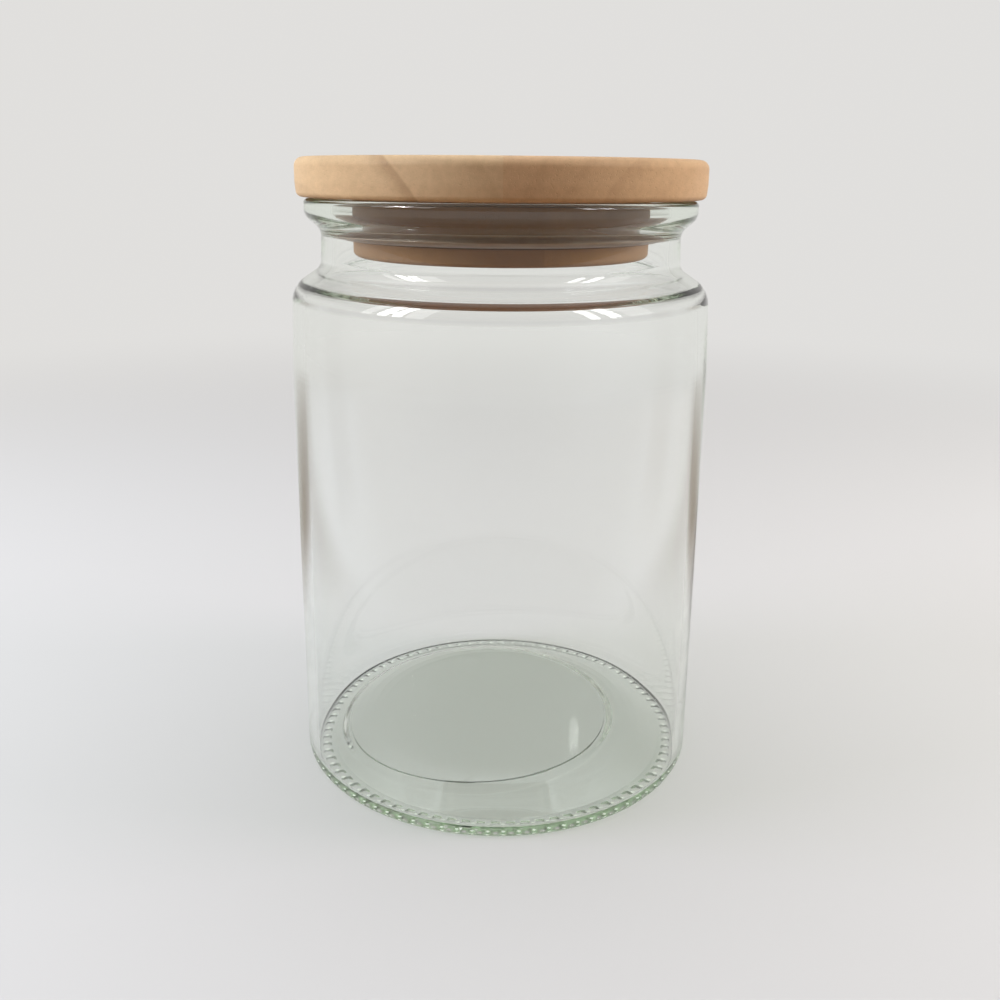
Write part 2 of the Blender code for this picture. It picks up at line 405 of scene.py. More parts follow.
@dataclass(frozen=True)
class BoardGrain:
    """The grain of edge-glued boards that run along Y, sawn a little off the pith.

    Lengths are in millimetres here. A stretch is how fast a pattern changes along X, Y and Z. The fields
    that start with next say how far the pith, the rings' tones or a pattern move on from board to board.
    Main Ring is the one bold ring's number, counted from the pith, with next_rings more for each board to
    the left of the seam.
    """

    slow_stretch: Stretch = (0.03, 0.010, 0.03)
    streak_stretch: Stretch = (0.7, 0.022, 0.7)
    fibre_stretch: Stretch = (5.0, 0.14, 5.0)
    pore_stretch: Stretch = (2.6, 0.2, 2.6)
    lean: float = 0.09
    next_pith: float = 70.0
    next_rings: float = 100.0
    next_pattern: float = 31.0
    next_seed: float = 17.0
    ring_wobble: float = 5.0
    late_wood: tuple[float, float, float] = (0.45, 0.90, 0.92)
    faint_rings: Range = (0.05, 0.35)
    pore_edge: Range = (0.62, 0.72)
    streak_shade: float = 0.30
    fibre_shade: float = 0.22
    slow_shade: float = 0.25
    pore_shade: float = -0.05
    fibre_height: float = 0.35

    def group(self) -> EffectGroup:
        """Builds the effect.

        Returns:
            The group, whose outputs are the colour, a height for bumps and the mask of the open pores.
        """
        group = EffectGroup(
            "board_grain",
            {
                "Vector": ("Vector", None),
                "Seam": ("Float", 0.0),
                "Board Width": ("Float", 52.0),
                "Pith Side": ("Float", -8.0),
                "Pith Depth": ("Float", 30.0),
                "Ring Spacing": ("Float", 6.5),
                "Ring Strength": ("Float", 0.5),
                "Main Ring": ("Float", 6.0),
                "First Tint": ("Color", (0.6, 0.45, 0.3, 1.0)),
                "Second Tint": ("Color", (0.6, 0.4, 0.27, 1.0)),
                "Ring Tint": ("Color", (0.3, 0.18, 0.1, 1.0)),
            },
            {"Color": "Color", "Height": "Float", "Pores": "Float"},
        )
        graph = group.graph
        given = group.source.outputs
        point = graph.vector_math("SCALE", v0=given["Vector"], scale=1.0 / MM).outputs["Vector"]
        across = graph.add("SeparateXYZ", {"Vector": point}).outputs["X"]
        across = graph.math("SUBTRACT", across, given["Seam"])
        board = graph.math("FLOOR", graph.math("DIVIDE", across, given["Board Width"]))
        inside = graph.math("SUBTRACT", across, graph.math("MULTIPLY", board, given["Board Width"]))
        second = graph.math("PINGPONG", board, 1.0)
        slow = graph.noise(graph.stretched(point, self.slow_stretch), Detail=0.0)
        reach = self.from_pith(group, point, inside, second)
        reach = graph.math("MULTIPLY_ADD", slow, self.ring_wobble, reach)
        rings = self.late_rings(group, reach, board)

        along = graph.math("MULTIPLY", board, self.next_pattern)
        step = graph.add("CombineXYZ", {"Y": along}).outputs["Vector"]
        shifted = graph.vector_math("ADD", v0=point, v1=step).outputs["Vector"]
        streaks = graph.noise(
            graph.stretched(shifted, self.streak_stretch), Detail=4.0, Roughness=0.6
        )
        fibres = graph.noise(graph.stretched(shifted, self.fibre_stretch), Detail=2.0)
        pore_field = graph.noise(graph.stretched(shifted, self.pore_stretch), Detail=1.0)
        pores = graph.remap(pore_field, *self.pore_edge, 0.0, 1.0)

        shade = 1.0
        for pattern, weight in (
            (streaks, self.streak_shade),
            (fibres, self.fibre_shade),
            (slow, self.slow_shade),
        ):
            shade = graph.math("MULTIPLY_ADD", graph.math("SUBTRACT", pattern, 0.5), weight, shade)
        shade = graph.math("MULTIPLY_ADD", pores, self.pore_shade, shade)
        tint = graph.mix(second, given["Second Tint"], given["First Tint"])
        tint = graph.mix(rings, tint, given["Ring Tint"])
        group.put_out("Color", graph.vector_math("SCALE", v0=tint, scale=shade).outputs["Vector"])
        raised = graph.math("MULTIPLY", fibres, self.fibre_height)
        group.put_out("Height", graph.math("MULTIPLY_ADD", pores, -1.0, raised))
        group.put_out("Pores", pores)
        return group

    def from_pith(
        self,
        group: EffectGroup,
        point: bpy.types.NodeSocket,
        inside: bpy.types.NodeSocket,
        second: bpy.types.NodeSocket,
    ) -> bpy.types.NodeSocket:
        """Works out how far a point lies from the pith of its board's tree.

        Args:
            group: The effect.
            point: The point.
            inside: How far it lies from the board's left edge.
            second: 1 on every second board, and 0 on the others.

        Returns:
            The distance.
        """
        graph = group.graph
        given = group.source.outputs
        axes = graph.add("SeparateXYZ", {"Vector": point}).outputs
        lean = graph.math("MULTIPLY", axes["Y"], self.lean)
        first_side = graph.math("ADD", given["Pith Side"], self.next_pith)
        side = graph.math("MULTIPLY_ADD", second, -self.next_pith, first_side)
        aside = graph.math("SUBTRACT", inside, graph.math("ADD", side, lean))
        above = graph.math("ADD", axes["Z"], graph.math("ADD", given["Pith Depth"], lean))
        squares = graph.math("ADD", graph.math("POWER", aside, 2.0), graph.math("POWER", above, 2.0))
        return graph.math("SQRT", squares)

    def late_rings(
        self, group: EffectGroup, reach: bpy.types.NodeSocket, board: bpy.types.NodeSocket
    ) -> bpy.types.NodeSocket:
        """Draws the dark late wood of the yearly rings, one of them bold and the others faint.

        Args:
            group: The effect.
            reach: The distance from the pith.
            board: The board's number, which is 0 to the right of the seam.

        Returns:
            The rings as a mask.
        """
        graph = group.graph
        given = group.source.outputs
        rings = graph.math("DIVIDE", reach, given["Ring Spacing"])
        ring_share = graph.math("FRACT", rings)
        ring_number = graph.math("FLOOR", rings)
        start, full, end = self.late_wood
        darkening = graph.remap(ring_share, start, full, 0.0, 1.0)
        ending = graph.remap(ring_share, end, 1.0, 1.0, 0.0)
        late = graph.math("MULTIPLY", darkening, ending)
        counted = graph.math("MULTIPLY_ADD", board, -self.next_rings, ring_number)
        main = graph.math("COMPARE", counted, given["Main Ring"], 0.5)
        seed = graph.math("MULTIPLY_ADD", board, self.next_seed, ring_number)
        chance = graph.add("TexWhiteNoise", {"W": seed}, noise_dimensions="1D").outputs["Value"]
        least, spread = self.faint_rings
        boldness = graph.math("MAXIMUM", main, graph.math("MULTIPLY_ADD", chance, spread, least))
        return graph.math("MULTIPLY", graph.math("MULTIPLY", late, boldness), given["Ring Strength"])


@dataclass(frozen=True)
class HandlingMarks:
    """The faint cloudy smears and fine scratches that hands and cloths leave."""

    smear_edge: Range = (0.42, 0.72)
    warp_scale: float = 90.0
    warp_reach: float = 4.0 * MM
    scratch_width: float = 0.02
    gate_scale: float = 160.0
    gate_edge: Range = (0.60, 0.68)

    def group(self) -> EffectGroup:
        """Builds the effect.

        Returns:
            The group, whose outputs are the smears and the scratches as masks.
        """
        group = EffectGroup(
            "handling_marks",
            {
                "Vector": ("Vector", None),
                "Smear Size": ("Float", 20.0 * MM),
                "Scratch Size": ("Float", 4.0 * MM),
            },
            {"Smears": "Float", "Scratches": "Float"},
        )
        graph = group.graph
        given = group.source.outputs
        place = given["Vector"]
        smear_scale = graph.math("DIVIDE", 1.0, given["Smear Size"])
        cloud = graph.noise(place, smear_scale, Detail=5.0, Distortion=0.8)
        group.put_out("Smears", graph.remap(cloud, *self.smear_edge, 0.0, 1.0))
        warp = graph.add("TexNoise", {"Vector": place, "Scale": self.warp_scale}).outputs["Color"]
        push = graph.vector_math("SCALE", v0=warp, scale=self.warp_reach).outputs["Vector"]
        bent = graph.vector_math("ADD", v0=place, v1=push).outputs["Vector"]
        scratch_scale = graph.math("DIVIDE", 1.0, given["Scratch Size"])
        cells = graph.add(
            "TexVoronoi", {"Vector": bent, "Scale": scratch_scale}, feature="DISTANCE_TO_EDGE"
        ).outputs["Distance"]
        lines = graph.remap(cells, 0.0, self.scratch_width, 1.0, 0.0)
        gate = graph.remap(graph.noise(place, self.gate_scale), *self.gate_edge, 0.0, 1.0)
        group.put_out("Scratches", graph.math("MULTIPLY", lines, gate))
        return group


@dataclass(frozen=True)
class GlassFinish:
    """Clear pressed glass with a faint green body colour."""

    name: str = "clear_glass"
    index: float = 1.52
    clean_roughness: float = 0.0
    smear_size: float = 30.0 * MM
    smeared_roughness: float = 0.045
    scratch_size: float = 12.0 * MM
    scratched_roughness: float = 0.12
    body_colour: Colour = (0.47, 0.72, 0.38)
    body_density: float = 13.0
    shadow_colour: Colour = (0.90, 0.915, 0.90)
    ripple_depth: float = 0.02 * MM
    ripple_scale: float = 60.0
    ripple_stretch: Stretch = (1.0, 1.0, 0.35)

    def material(self, marks: EffectGroup) -> bpy.types.Material:
        """Makes the glass.

        Args:
            marks: The group of smears and scratches.

        Returns:
            The material.
        """
        material, graph = blank_material(self.name)
        place = graph.add("TexCoord").outputs["Object"]
        worn = marks.used_in(
            graph, Vector=place, Smear_Size=self.smear_size, Scratch_Size=self.scratch_size
        ).outputs
        roughness = graph.math(
            "MULTIPLY_ADD", worn["Smears"], self.smeared_roughness, self.clean_roughness
        )
        roughness = graph.math(
            "MULTIPLY_ADD", worn["Scratches"], self.scratched_roughness, roughness
        )
        stretched = graph.add("Mapping", {"Vector": place, "Scale": self.ripple_stretch})
        ripples = graph.noise(stretched.outputs["Vector"], self.ripple_scale, Detail=1.0)
        bump = graph.add(
            "Bump", {"Strength": 1.0, "Distance": self.ripple_depth, "Height": ripples}
        )
        glass = graph.add(
            "BsdfPrincipled",
            {
                "Base Color": (1.0, 1.0, 1.0, 1.0),
                "Roughness": roughness,
                "Metallic": 0.0,
                "IOR": self.index,
                "Transmission Weight": 1.0,
                "Normal": bump.outputs["Normal"],
            },
        )
        clear = graph.add("BsdfTransparent", {"Color": (*self.shadow_colour, 1.0)})
        ray = graph.add("LightPath").outputs
        lets_light_by = graph.math("MAXIMUM", ray["Is Shadow Ray"], ray["Is Diffuse Ray"])
        surface = graph.add(
            "MixShader", {0: lets_light_by, 1: glass.outputs["BSDF"], 2: clear.outputs["BSDF"]}
        )
        body = graph.add(
            "VolumeAbsorption", {"Color": (*self.body_colour, 1.0), "Density": self.body_density}
        )
        graph.add(
            "OutputMaterial",
            {"Surface": surface.outputs["Shader"], "Volume": body.outputs["Volume"]},
        )
        return material


@dataclass(frozen=True)
class WearAndGlintGlassFinish:
    """Glass on the knurls' crests, frosted white: partly real wear from standing and sliding, partly a
    painted highlight that makes each crest glint.
    """

    name: str = "wear_and_glint_glass"
    # Both colours are frosted white: real wear, brightened as a painted highlight on each crest.
    wear_and_glint_colour: Colour = (0.93, 0.95, 0.92)
    fainter_wear_and_glint_colour: Colour = (0.74, 0.79, 0.74)
    index: float = 1.52
    fresh_roughness: float = 0.45
    worn_roughening: float = 0.25
    grit_scale: float = 2600.0
    grit_edge: Range = (0.36, 0.52)
    grit_depth: float = 0.03 * MM

    def material(self) -> bpy.types.Material:
        """Makes the worn glass, whose pale colours are partly a painted highlight.

        Returns:
            The material.
        """
        material, graph = blank_material(self.name)
        place = graph.add("TexCoord").outputs["Object"]
        grit = graph.noise(place, self.grit_scale, Detail=3.0)
        wear = graph.remap(grit, *self.grit_edge, 0.0, 1.0)
        bump = graph.add("Bump", {"Strength": 0.5, "Distance": self.grit_depth, "Height": grit})
        frost = graph.add(
            "BsdfPrincipled",
            {
                "Base Color": graph.mix(wear, (*self.fainter_wear_and_glint_colour, 1.0), (*self.wear_and_glint_colour, 1.0)),
                "Roughness": graph.math(
                    "MULTIPLY_ADD", wear, self.worn_roughening, self.fresh_roughness
                ),
                "Metallic": 0.0,
                "IOR": self.index,
                "Normal": bump.outputs["Normal"],
            },
        )
        graph.add("OutputMaterial", {"Surface": frost.outputs["BSDF"]})
        return material


@dataclass(frozen=True)
class WoodFinish:
    """Bare pale hardwood, sanded smooth."""

    name: str
    seam: float
    board_width: float
    pith_side: float
    pith_depth: float
    ring_spacing: float
    ring_strength: float
    main_ring: float
    first_tint: Colour
    second_tint: Colour
    ring_tint: Colour
    sheen: float = 0.2
    index: float = 1.45
    base_roughness: float = 0.52
    smear_size: float = 18.0 * MM
    smeared_roughening: float = -0.08
    pore_roughening: float = 0.15
    pore_depth: float = 0.05 * MM

    def material(self, grain: EffectGroup, marks: EffectGroup) -> bpy.types.Material:
        """Makes the wood.

        Args:
            grain: The group that draws the boards.
            marks: The group of smears and scratches.

        Returns:
            The material.
        """
        material, graph = blank_material(self.name)
        place = graph.add("TexCoord").outputs["Object"]
        boards = grain.used_in(
            graph,
            Vector=place,
            Seam=self.seam,
            Board_Width=self.board_width,
            Pith_Side=self.pith_side,
            Pith_Depth=self.pith_depth,
            Ring_Spacing=self.ring_spacing,
            Ring_Strength=self.ring_strength,
            Main_Ring=self.main_ring,
            First_Tint=(*self.first_tint, 1.0),
            Second_Tint=(*self.second_tint, 1.0),
            Ring_Tint=(*self.ring_tint, 1.0),
        )
        smears = marks.used_in(graph, Vector=place, Smear_Size=self.smear_size).outputs["Smears"]
        roughness = graph.math("MULTIPLY_ADD", smears, self.smeared_roughening, self.base_roughness)
        roughness = graph.math(
            "MULTIPLY_ADD", boards.outputs["Pores"], self.pore_roughening, roughness
        )
        bump = graph.add(
            "Bump", {"Strength": 0.6, "Distance": self.pore_depth, "Height": boards.outputs["Height"]}
        )
        wood = graph.add(
            "BsdfPrincipled",
            {
                "Base Color": boards.outputs["Color"],
                "Roughness": roughness,
                "Metallic": 0.0,
                "IOR": self.index,
                "Specular IOR Level": self.sheen,
                "Normal": bump.outputs["Normal"],
            },
        )
        graph.add("OutputMaterial", {"Surface": wood.outputs["BSDF"]})
        return material


@dataclass(frozen=True)
class SiliconeFinish:
    """Milky translucent silicone with a satin face and a little lint."""

    name: str = "clear_silicone"
    colour: Colour = (0.66, 0.48, 0.35)
    dusty_colour: Colour = (0.78, 0.66, 0.56)
    dustiness: float = 0.5
    index: float = 1.41
    clarity: float = 0.45
    base_roughness: float = 0.35
    smear_size: float = 6.0 * MM
    smeared_roughening: float = 0.15
    grain_scale: float = 1400.0
    grain_depth: float = 0.02 * MM

    def material(self, marks: EffectGroup) -> bpy.types.Material:
        """Makes the silicone.

        Args:
            marks: The group of smears and scratches.

        Returns:
            The material.
        """
        material, graph = blank_material(self.name)
        place = graph.add("TexCoord").outputs["Object"]
        smears = marks.used_in(graph, Vector=place, Smear_Size=self.smear_size).outputs["Smears"]
        dust = graph.math("MULTIPLY", smears, self.dustiness)
        colour = graph.mix(dust, (*self.colour, 1.0), (*self.dusty_colour, 1.0))
        roughness = graph.math("MULTIPLY_ADD", smears, self.smeared_roughening, self.base_roughness)
        grain = graph.noise(place, self.grain_scale, Detail=2.0)
        bump = graph.add("Bump", {"Strength": 0.3, "Distance": self.grain_depth, "Height": grain})
        silicone = graph.add(
            "BsdfPrincipled",
            {
                "Base Color": colour,
                "Roughness": roughness,
                "Metallic": 0.0,
                "IOR": self.index,
                "Transmission Weight": self.clarity,
                "Normal": bump.outputs["Normal"],
            },
        )
        graph.add("OutputMaterial", {"Surface": silicone.outputs["BSDF"]})
        return material


@dataclass
class GlassJar:
    """The glass jar: a thin-walled body, a sloping shoulder, a short neck and a rolled rim."""

    glass: bpy.types.Material
    # The frosted crests' finish: partly wear, partly a painted highlight.
    wear_and_glint: bpy.types.Material
    box_margin: float = 0.05 * MM
    body_taper: float = 0.75 * MM
    body_taper_drop: float = 39.8 * MM
    taper_fillet: float = 60.0 * MM
    heel_fillet: float = 1.8 * MM
    shoulder_width: float = 7.15 * MM
    shoulder_drop: float = 20.45 * MM
    shoulder_rise: float = 4.6 * MM
    shoulder_fillet: float = 6.0 * MM
    inner_shoulder_fillet: float = 2.4 * MM
    neck_foot_flare: float = 0.3 * MM
    neck_fillet: float = 3.0 * MM
    rim_reach: float = 3.8 * MM
    rim_side_height: float = 3.9 * MM
    rim_undercut_height: float = 3.3 * MM
    rim_top_fillet: float = 1.2 * MM
    rim_foot_fillet: float = 3.0 * MM
    body_wall: float = 2.5 * MM
    neck_wall: float = 2.6 * MM
    floor_thickness: float = 3.6 * MM
    crown_fillet: float = 20.0 * MM
    crown_slope_width: float = 10.6 * MM
    moat_thickness: float = 1.6 * MM
    moat_width: float = 2.9 * MM
    moat_fillet: float = 7.0 * MM
    floor_corner_fillet: float = 1.4 * MM
    foot_ring_width: float = 5.8 * MM
    foot_edge_fillet: float = 0.4 * MM
    push_up_height: float = 2.2 * MM
    push_up_slope_width: float = 11.4 * MM
    push_up_rings: int = 12
    mark_ledge: float = 3.6 * MM
    mark_shift: tuple[float, float] = (-5.2 * MM, 0.6 * MM)
    mark_depth: float = 1.2 * MM
    mark_lip: float = 0.15 * MM
    mark_lip_width: float = 0.45 * MM
    mark_slope_width: float = 2.6 * MM
    mark_rings: int = 14
    knurl_count: int = 84
    knurl_cuts: int = 7
    knurl_rings: int = 10
    knurl_length: float = 3.0 * MM
    knurl_end: float = 0.7 * MM
    knurl_depth: float = 0.32 * MM
    crest_width: float = 0.70 * MM
    crest_edge: float = 1.15 * MM
    # Length of each crest's frosted spot, which is wear and a painted highlight.
    wear_and_glint_length: float = 1.1 * MM
    wall_wave: float = 0.07 * MM
    # How fast each of the wall's waves changes round the jar and up it, and where its pattern starts.
    wall_waves: tuple[tuple[float, float, float], ...] = ((2.6, 7.0, 0.0), (1.3, 26.0, 7.0))
    floor_wave: float = 0.04 * MM
    floor_waves: float = 55.0
    floor_start: float = 3.0
    wave_facing: float = 0.9
    height: float = field(init=False)
    body_radius: float = field(init=False)

    def __post_init__(self) -> None:
        """Takes the jar's height and width from the frame, and keeps a hair's breadth inside its box."""
        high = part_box("jar")[1]
        self.height = high.z
        self.body_radius = high.x - self.box_margin

    @property
    def top_radius(self) -> float:
        """The body's radius under the shoulder."""
        return self.body_radius - self.body_taper

    @property
    def neck_radius(self) -> float:
        """The neck's outer radius."""
        return self.top_radius - self.shoulder_width

    @property
    def mouth_radius(self) -> float:
        """The neck's inner radius."""
        return self.neck_radius - self.neck_wall

    @property
    def foot_radius(self) -> float:
        """The outer radius of the flat ring that the jar stands on."""
        return self.body_radius - self.heel_fillet

    @property
    def foot_inner(self) -> float:
        """The inner radius of that ring."""
        return self.foot_radius - self.foot_ring_width

    @property
    def knurl_radius(self) -> float:
        """The radius of the middle of the knurls, halfway across that ring."""
        return (self.foot_radius + self.foot_inner) / 2

    @property
    def mark_radius(self) -> float:
        """The radius of the press's mark under the jar, which lies off centre."""
        return self.foot_inner - self.mark_ledge - Vector(self.mark_shift).length

    @property
    def mark_slope(self) -> list[float]:
        """The radii of the rings of points down the edge of that mark, from its inside out."""
        width = self.mark_slope_width
        return [self.mark_radius + width * step / self.mark_rings for step in range(self.mark_rings + 1)]

    def underside(self, radius: float) -> float:
        """How high the underside lies, which rises from the foot ring and levels out towards the middle.

        Args:
            radius: The distance from the axis.

        Returns:
            The height.
        """
        share = min(1.0, max(0.0, (self.foot_inner - radius) / self.push_up_slope_width))
        return self.push_up_height * math.sin(share * math.pi / 2)

    def outline(self) -> list[Corner]:
        """Gives half the jar's section, up inside, over the rim, down outside and in under the foot.

        Returns:
            The corners, of which the first and the last lie on the axis.
        """
        wall = self.body_radius - self.body_wall
        moat = wall - self.moat_width
        floor = self.push_up_height + self.floor_thickness
        taper_foot = self.height - self.body_taper_drop
        shoulder = self.height - self.shoulder_drop
        slope = math.atan2(self.shoulder_rise, self.shoulder_width)
        inner_shoulder = shoulder - self.body_wall * math.tan((math.pi / 2 - slope) / 2)
        inner_top = self.top_radius - self.body_wall
        inner_rise = (inner_top - self.mouth_radius) * math.tan(slope)
        neck_foot = self.neck_radius + self.neck_foot_flare
        rim = self.neck_radius + self.rim_reach
        rim_foot = self.height - self.rim_side_height
        inside = [
            Corner(0.0, floor),
            Corner(moat - self.crown_slope_width, floor, self.crown_fillet),
            Corner(moat, self.moat_thickness, self.moat_fillet),
            Corner(wall, self.moat_thickness, self.floor_corner_fillet),
            Corner(wall, taper_foot, self.taper_fillet),
            Corner(inner_top, inner_shoulder, self.inner_shoulder_fillet),
            Corner(self.mouth_radius, inner_shoulder + inner_rise, self.neck_fillet + self.neck_wall),
        ]
        outside = [
            Corner(self.mouth_radius, self.height, self.rim_top_fillet),
            Corner(rim, self.height, self.rim_top_fillet),
            Corner(rim, rim_foot, self.rim_foot_fillet),
            Corner(self.neck_radius, rim_foot - self.rim_undercut_height, self.neck_fillet),
            Corner(neck_foot, shoulder + self.shoulder_rise, self.neck_fillet),
            Corner(self.top_radius, shoulder, self.shoulder_fillet),
            Corner(self.body_radius, taper_foot, self.taper_fillet),
            Corner(self.body_radius, 0.0, self.heel_fillet),
        ]
        return inside + outside + self.foot_outline()

    def foot_outline(self) -> list[Corner]:
        """Gives the underside's part of that section, with a corner for each ring of points it needs.

        Returns:
            The corners across the knurls, up the push-up and across the press's mark to the axis.
        """
        knurl_end = self.knurl_radius + self.knurl_length / 2
        knurl_step = self.knurl_length / self.knurl_rings
        flat = [Corner(knurl_end - knurl_step * step, 0.0) for step in range(self.knurl_rings + 1)]
        slope_step = (self.foot_inner - self.mark_slope[-1]) / self.push_up_rings
        radii = [self.foot_inner - slope_step * step for step in range(1, self.push_up_rings)]
        radii += reversed(self.mark_slope)
        edge = Corner(self.foot_inner, 0.0, self.foot_edge_fillet)
        rise = [Corner(radius, self.underside(radius)) for radius in radii]
        return [*flat, edge, *rise, Corner(0.0, self.push_up_height)]

    def press_knurls(self, shape: bmesh.types.BMesh) -> None:
        """Cuts the short grooves across the foot ring, and frosts the crests between them white, as wear
        and as a painted highlight.

        Args:
            shape: The turned jar.
        """
        middle = self.knurl_radius
        low, high = middle - self.knurl_length / 2, middle + self.knurl_length / 2

        def flat(vert: bmesh.types.BMVert) -> bool:
            """Says whether a point lies on the flat band that takes the knurls."""
            return abs(vert.co.z) < MERGE_DISTANCE and low < vert.co.xy.length < high

        rings = [
            edge
            for edge in shape.edges
            if all(flat(vert) for vert in edge.verts)
            and abs(edge.verts[0].co.xy.length - edge.verts[1].co.xy.length) < MERGE_DISTANCE
        ]
        bmesh.ops.subdivide_edges(shape, edges=rings, cuts=self.knurl_cuts, use_grid_fill=True)
        for face in shape.faces:
            if all(flat(vert) for vert in face.verts):
                spot = face.calc_center_median()
                along = 2 * (spot.xy.length - middle) / self.wear_and_glint_length
                aside = 2 * self.from_crest(spot) / self.crest_width
                if along * along + aside * aside < 1.0:
                    # This spot takes the frosted white finish: real wear plus a painted highlight.
                    face.material_index = 1
        for vert in [vert for vert in shape.verts if flat(vert)]:
            radius = vert.co.xy.length
            ends = smooth_step(low, low + self.knurl_end, radius)
            ends *= smooth_step(high, high - self.knurl_end, radius)
            half = self.crest_width / 2
            groove = smooth_step(half, half + self.crest_edge, self.from_crest(vert.co))
            vert.co.z += self.knurl_depth * ends * groove

    def from_crest(self, spot: Vector) -> float:
        """How far a point of the foot ring lies from the middle of the nearest crest, round the ring.

        Args:
            spot: The point.

        Returns:
            The distance.
        """
        pitch = math.tau / self.knurl_count
        turn = math.atan2(spot.y, spot.x) % pitch
        return abs(turn - pitch / 2) * spot.xy.length

    def press_mark(self, shape: bmesh.types.BMesh) -> None:
        """Presses the round mark under the jar, off centre, with a fine lip along the top of its edge.

        Args:
            shape: The turned jar.
        """
        inner, outer = self.mark_slope[0], self.mark_slope[-1]
        crest = inner + self.mark_lip_width
        shift = Vector(self.mark_shift)
        top = self.push_up_height + MERGE_DISTANCE
        for vert in shape.verts:
            radius = vert.co.xy.length
            if vert.co.z > top or radius > self.foot_inner - MERGE_DISTANCE:
                continue
            if radius < MERGE_DISTANCE:
                vert.co.xy = shift
                vert.co.z = self.push_up_height + self.mark_depth
                continue
            share = min(1.0, (self.foot_inner - radius) / (self.foot_inner - outer))
            vert.co.xy += share * shift
            step = (self.mark_depth + self.mark_lip) * smooth_step(outer, crest, radius)
            step -= self.mark_lip * smooth_step(crest, inner, radius)
            vert.co.z = self.underside(vert.co.xy.length) + step

    def wave_inside(self, shape: bmesh.types.BMesh) -> None:
        """Makes the inner wall and floor gently uneven, as glass is where no mould touched it.

        Args:
            shape: The turned jar.
        """
        shape.normal_update()
        top = self.height - self.shoulder_drop
        floor = self.push_up_height + self.floor_thickness
        for vert in shape.verts:
            radius = vert.co.xy.length
            if radius < MERGE_DISTANCE:
                continue
            spot = vert.co.copy()
            out = Vector((spot.x, spot.y, 0.0)) / radius
            if vert.normal.dot(out) < -self.wave_facing and spot.z < top:
                ease = smooth_step(floor, 3 * floor, spot.z) * smooth_step(top, top - 3 * floor, spot.z)
                wave = sum(
                    noise.noise(Vector((turns * out.x, turns * out.y, rise * spot.z + start)))
                    for turns, rise, start in self.wall_waves
                )
                vert.co += out * (self.wall_wave * ease * wave)
            elif vert.normal.z > self.wave_facing and spot.z < 1.2 * floor:
                ease = smooth_step(self.body_radius - 2 * self.body_wall, 0.6 * self.body_radius, radius)
                wave = noise.noise(Vector((*(self.floor_waves * spot.xy), self.floor_start)))
                vert.co.z += self.floor_wave * ease * wave

    def build(self) -> bpy.types.Object:
        """Turns the jar, presses its foot and hands it to the frame.

        Returns:
            The jar's object.
        """
        shape = Turning(self.outline()).solid()
        self.press_knurls(shape)
        self.press_mark(shape)
        self.wave_inside(shape)
        jar = Piece.place("glass_jar", shape, self.glass)
        jar.data.materials.append(self.wear_and_glint)
        Piece.fit(jar, Body.JAR, Slot.GLASS, "jar")
        return jar


@dataclass
class WoodenLid:
    """The lid: a flat disc of two edge-glued boards with a plug glued under it."""

    board: bpy.types.Material
    # The plug's finish carries painted shade in its darker tints.
    plug: bpy.types.Material
    top_fillet: float = 2.1 * MM
    side_drop: float = 5.8 * MM
    side_lean: float = 0.35 * MM
    side_fillet: float = 9.0 * MM
    foot_fillet: float = 1.3 * MM
    plug_edge_fillet: float = 1.0 * MM
    groove_edge_fillet: float = 0.25 * MM
    groove_drop: float = 3.9 * MM
    groove_height: float = 6.0 * MM
    groove_depth: float = 2.0 * MM
    hand_wave: float = 0.05 * MM
    hand_waves: Stretch = (60.0, 60.0, 90.0)

    def disc_outline(self) -> list[Corner]:
        """Gives half the section of the disc, which widens a little from its foot to its middle."""
        low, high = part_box("lid_disc")
        return [
            Corner(0.0, high.z),
            Corner(high.x, high.z, self.top_fillet),
            Corner(high.x, high.z - self.side_drop, self.side_fillet),
            Corner(high.x - self.side_lean, low.z, self.foot_fillet),
            Corner(0.0, low.z),
        ]

    def plug_outline(self) -> list[Corner]:
        """Gives half the section of the plug, with the sealing ring's groove.

        Returns:
            The corners, from the disc's underside down.
        """
        low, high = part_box("lid_plug")
        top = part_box("lid_disc")[0].z
        groove_top = top - self.groove_drop
        groove_foot = groove_top - self.groove_height
        core = high.x - self.groove_depth
        return [
            Corner(0.0, top),
            Corner(high.x, top),
            Corner(high.x, groove_top, self.groove_edge_fillet),
            Corner(core, groove_top, self.groove_edge_fillet),
            Corner(core, groove_foot, self.groove_edge_fillet),
            Corner(high.x, groove_foot, self.groove_edge_fillet),
            Corner(high.x, low.z, self.plug_edge_fillet),
            Corner(0.0, low.z),
        ]

    def sand_by_hand(self, shape: bmesh.types.BMesh) -> None:
        """Takes the exactness off the rounded edges, inwards only.

        Args:
            shape: The turned disc.
        """
        for vert in shape.verts:
            radius = vert.co.xy.length
            if radius > MERGE_DISTANCE:
                rub = 0.5 + 0.5 * noise.noise(Vector(self.hand_waves) * vert.co)
                vert.co.xy *= 1.0 - self.hand_wave * rub / max(radius, 10.0 * self.hand_wave)

    def build(self) -> list[bpy.types.Object]:
        """Turns the disc and the plug and hands them to the frame.

        Returns:
            The two objects.
        """
        shape = Turning(self.disc_outline(), steps=192, straight_step=3.0 * MM).solid()
        self.sand_by_hand(shape)
        disc = Piece.place("wooden_disc", shape, self.board)
        Piece.fit(disc, Body.LID, Slot.WOOD, "lid_disc")
        plug = Piece.place(
            "wooden_plug", Turning(self.plug_outline(), steps=192).solid(), self.plug, math.radians(60)
        )
        Piece.fit(plug, Body.LID, Slot.WOOD, "lid_plug")
        return [disc, plug]


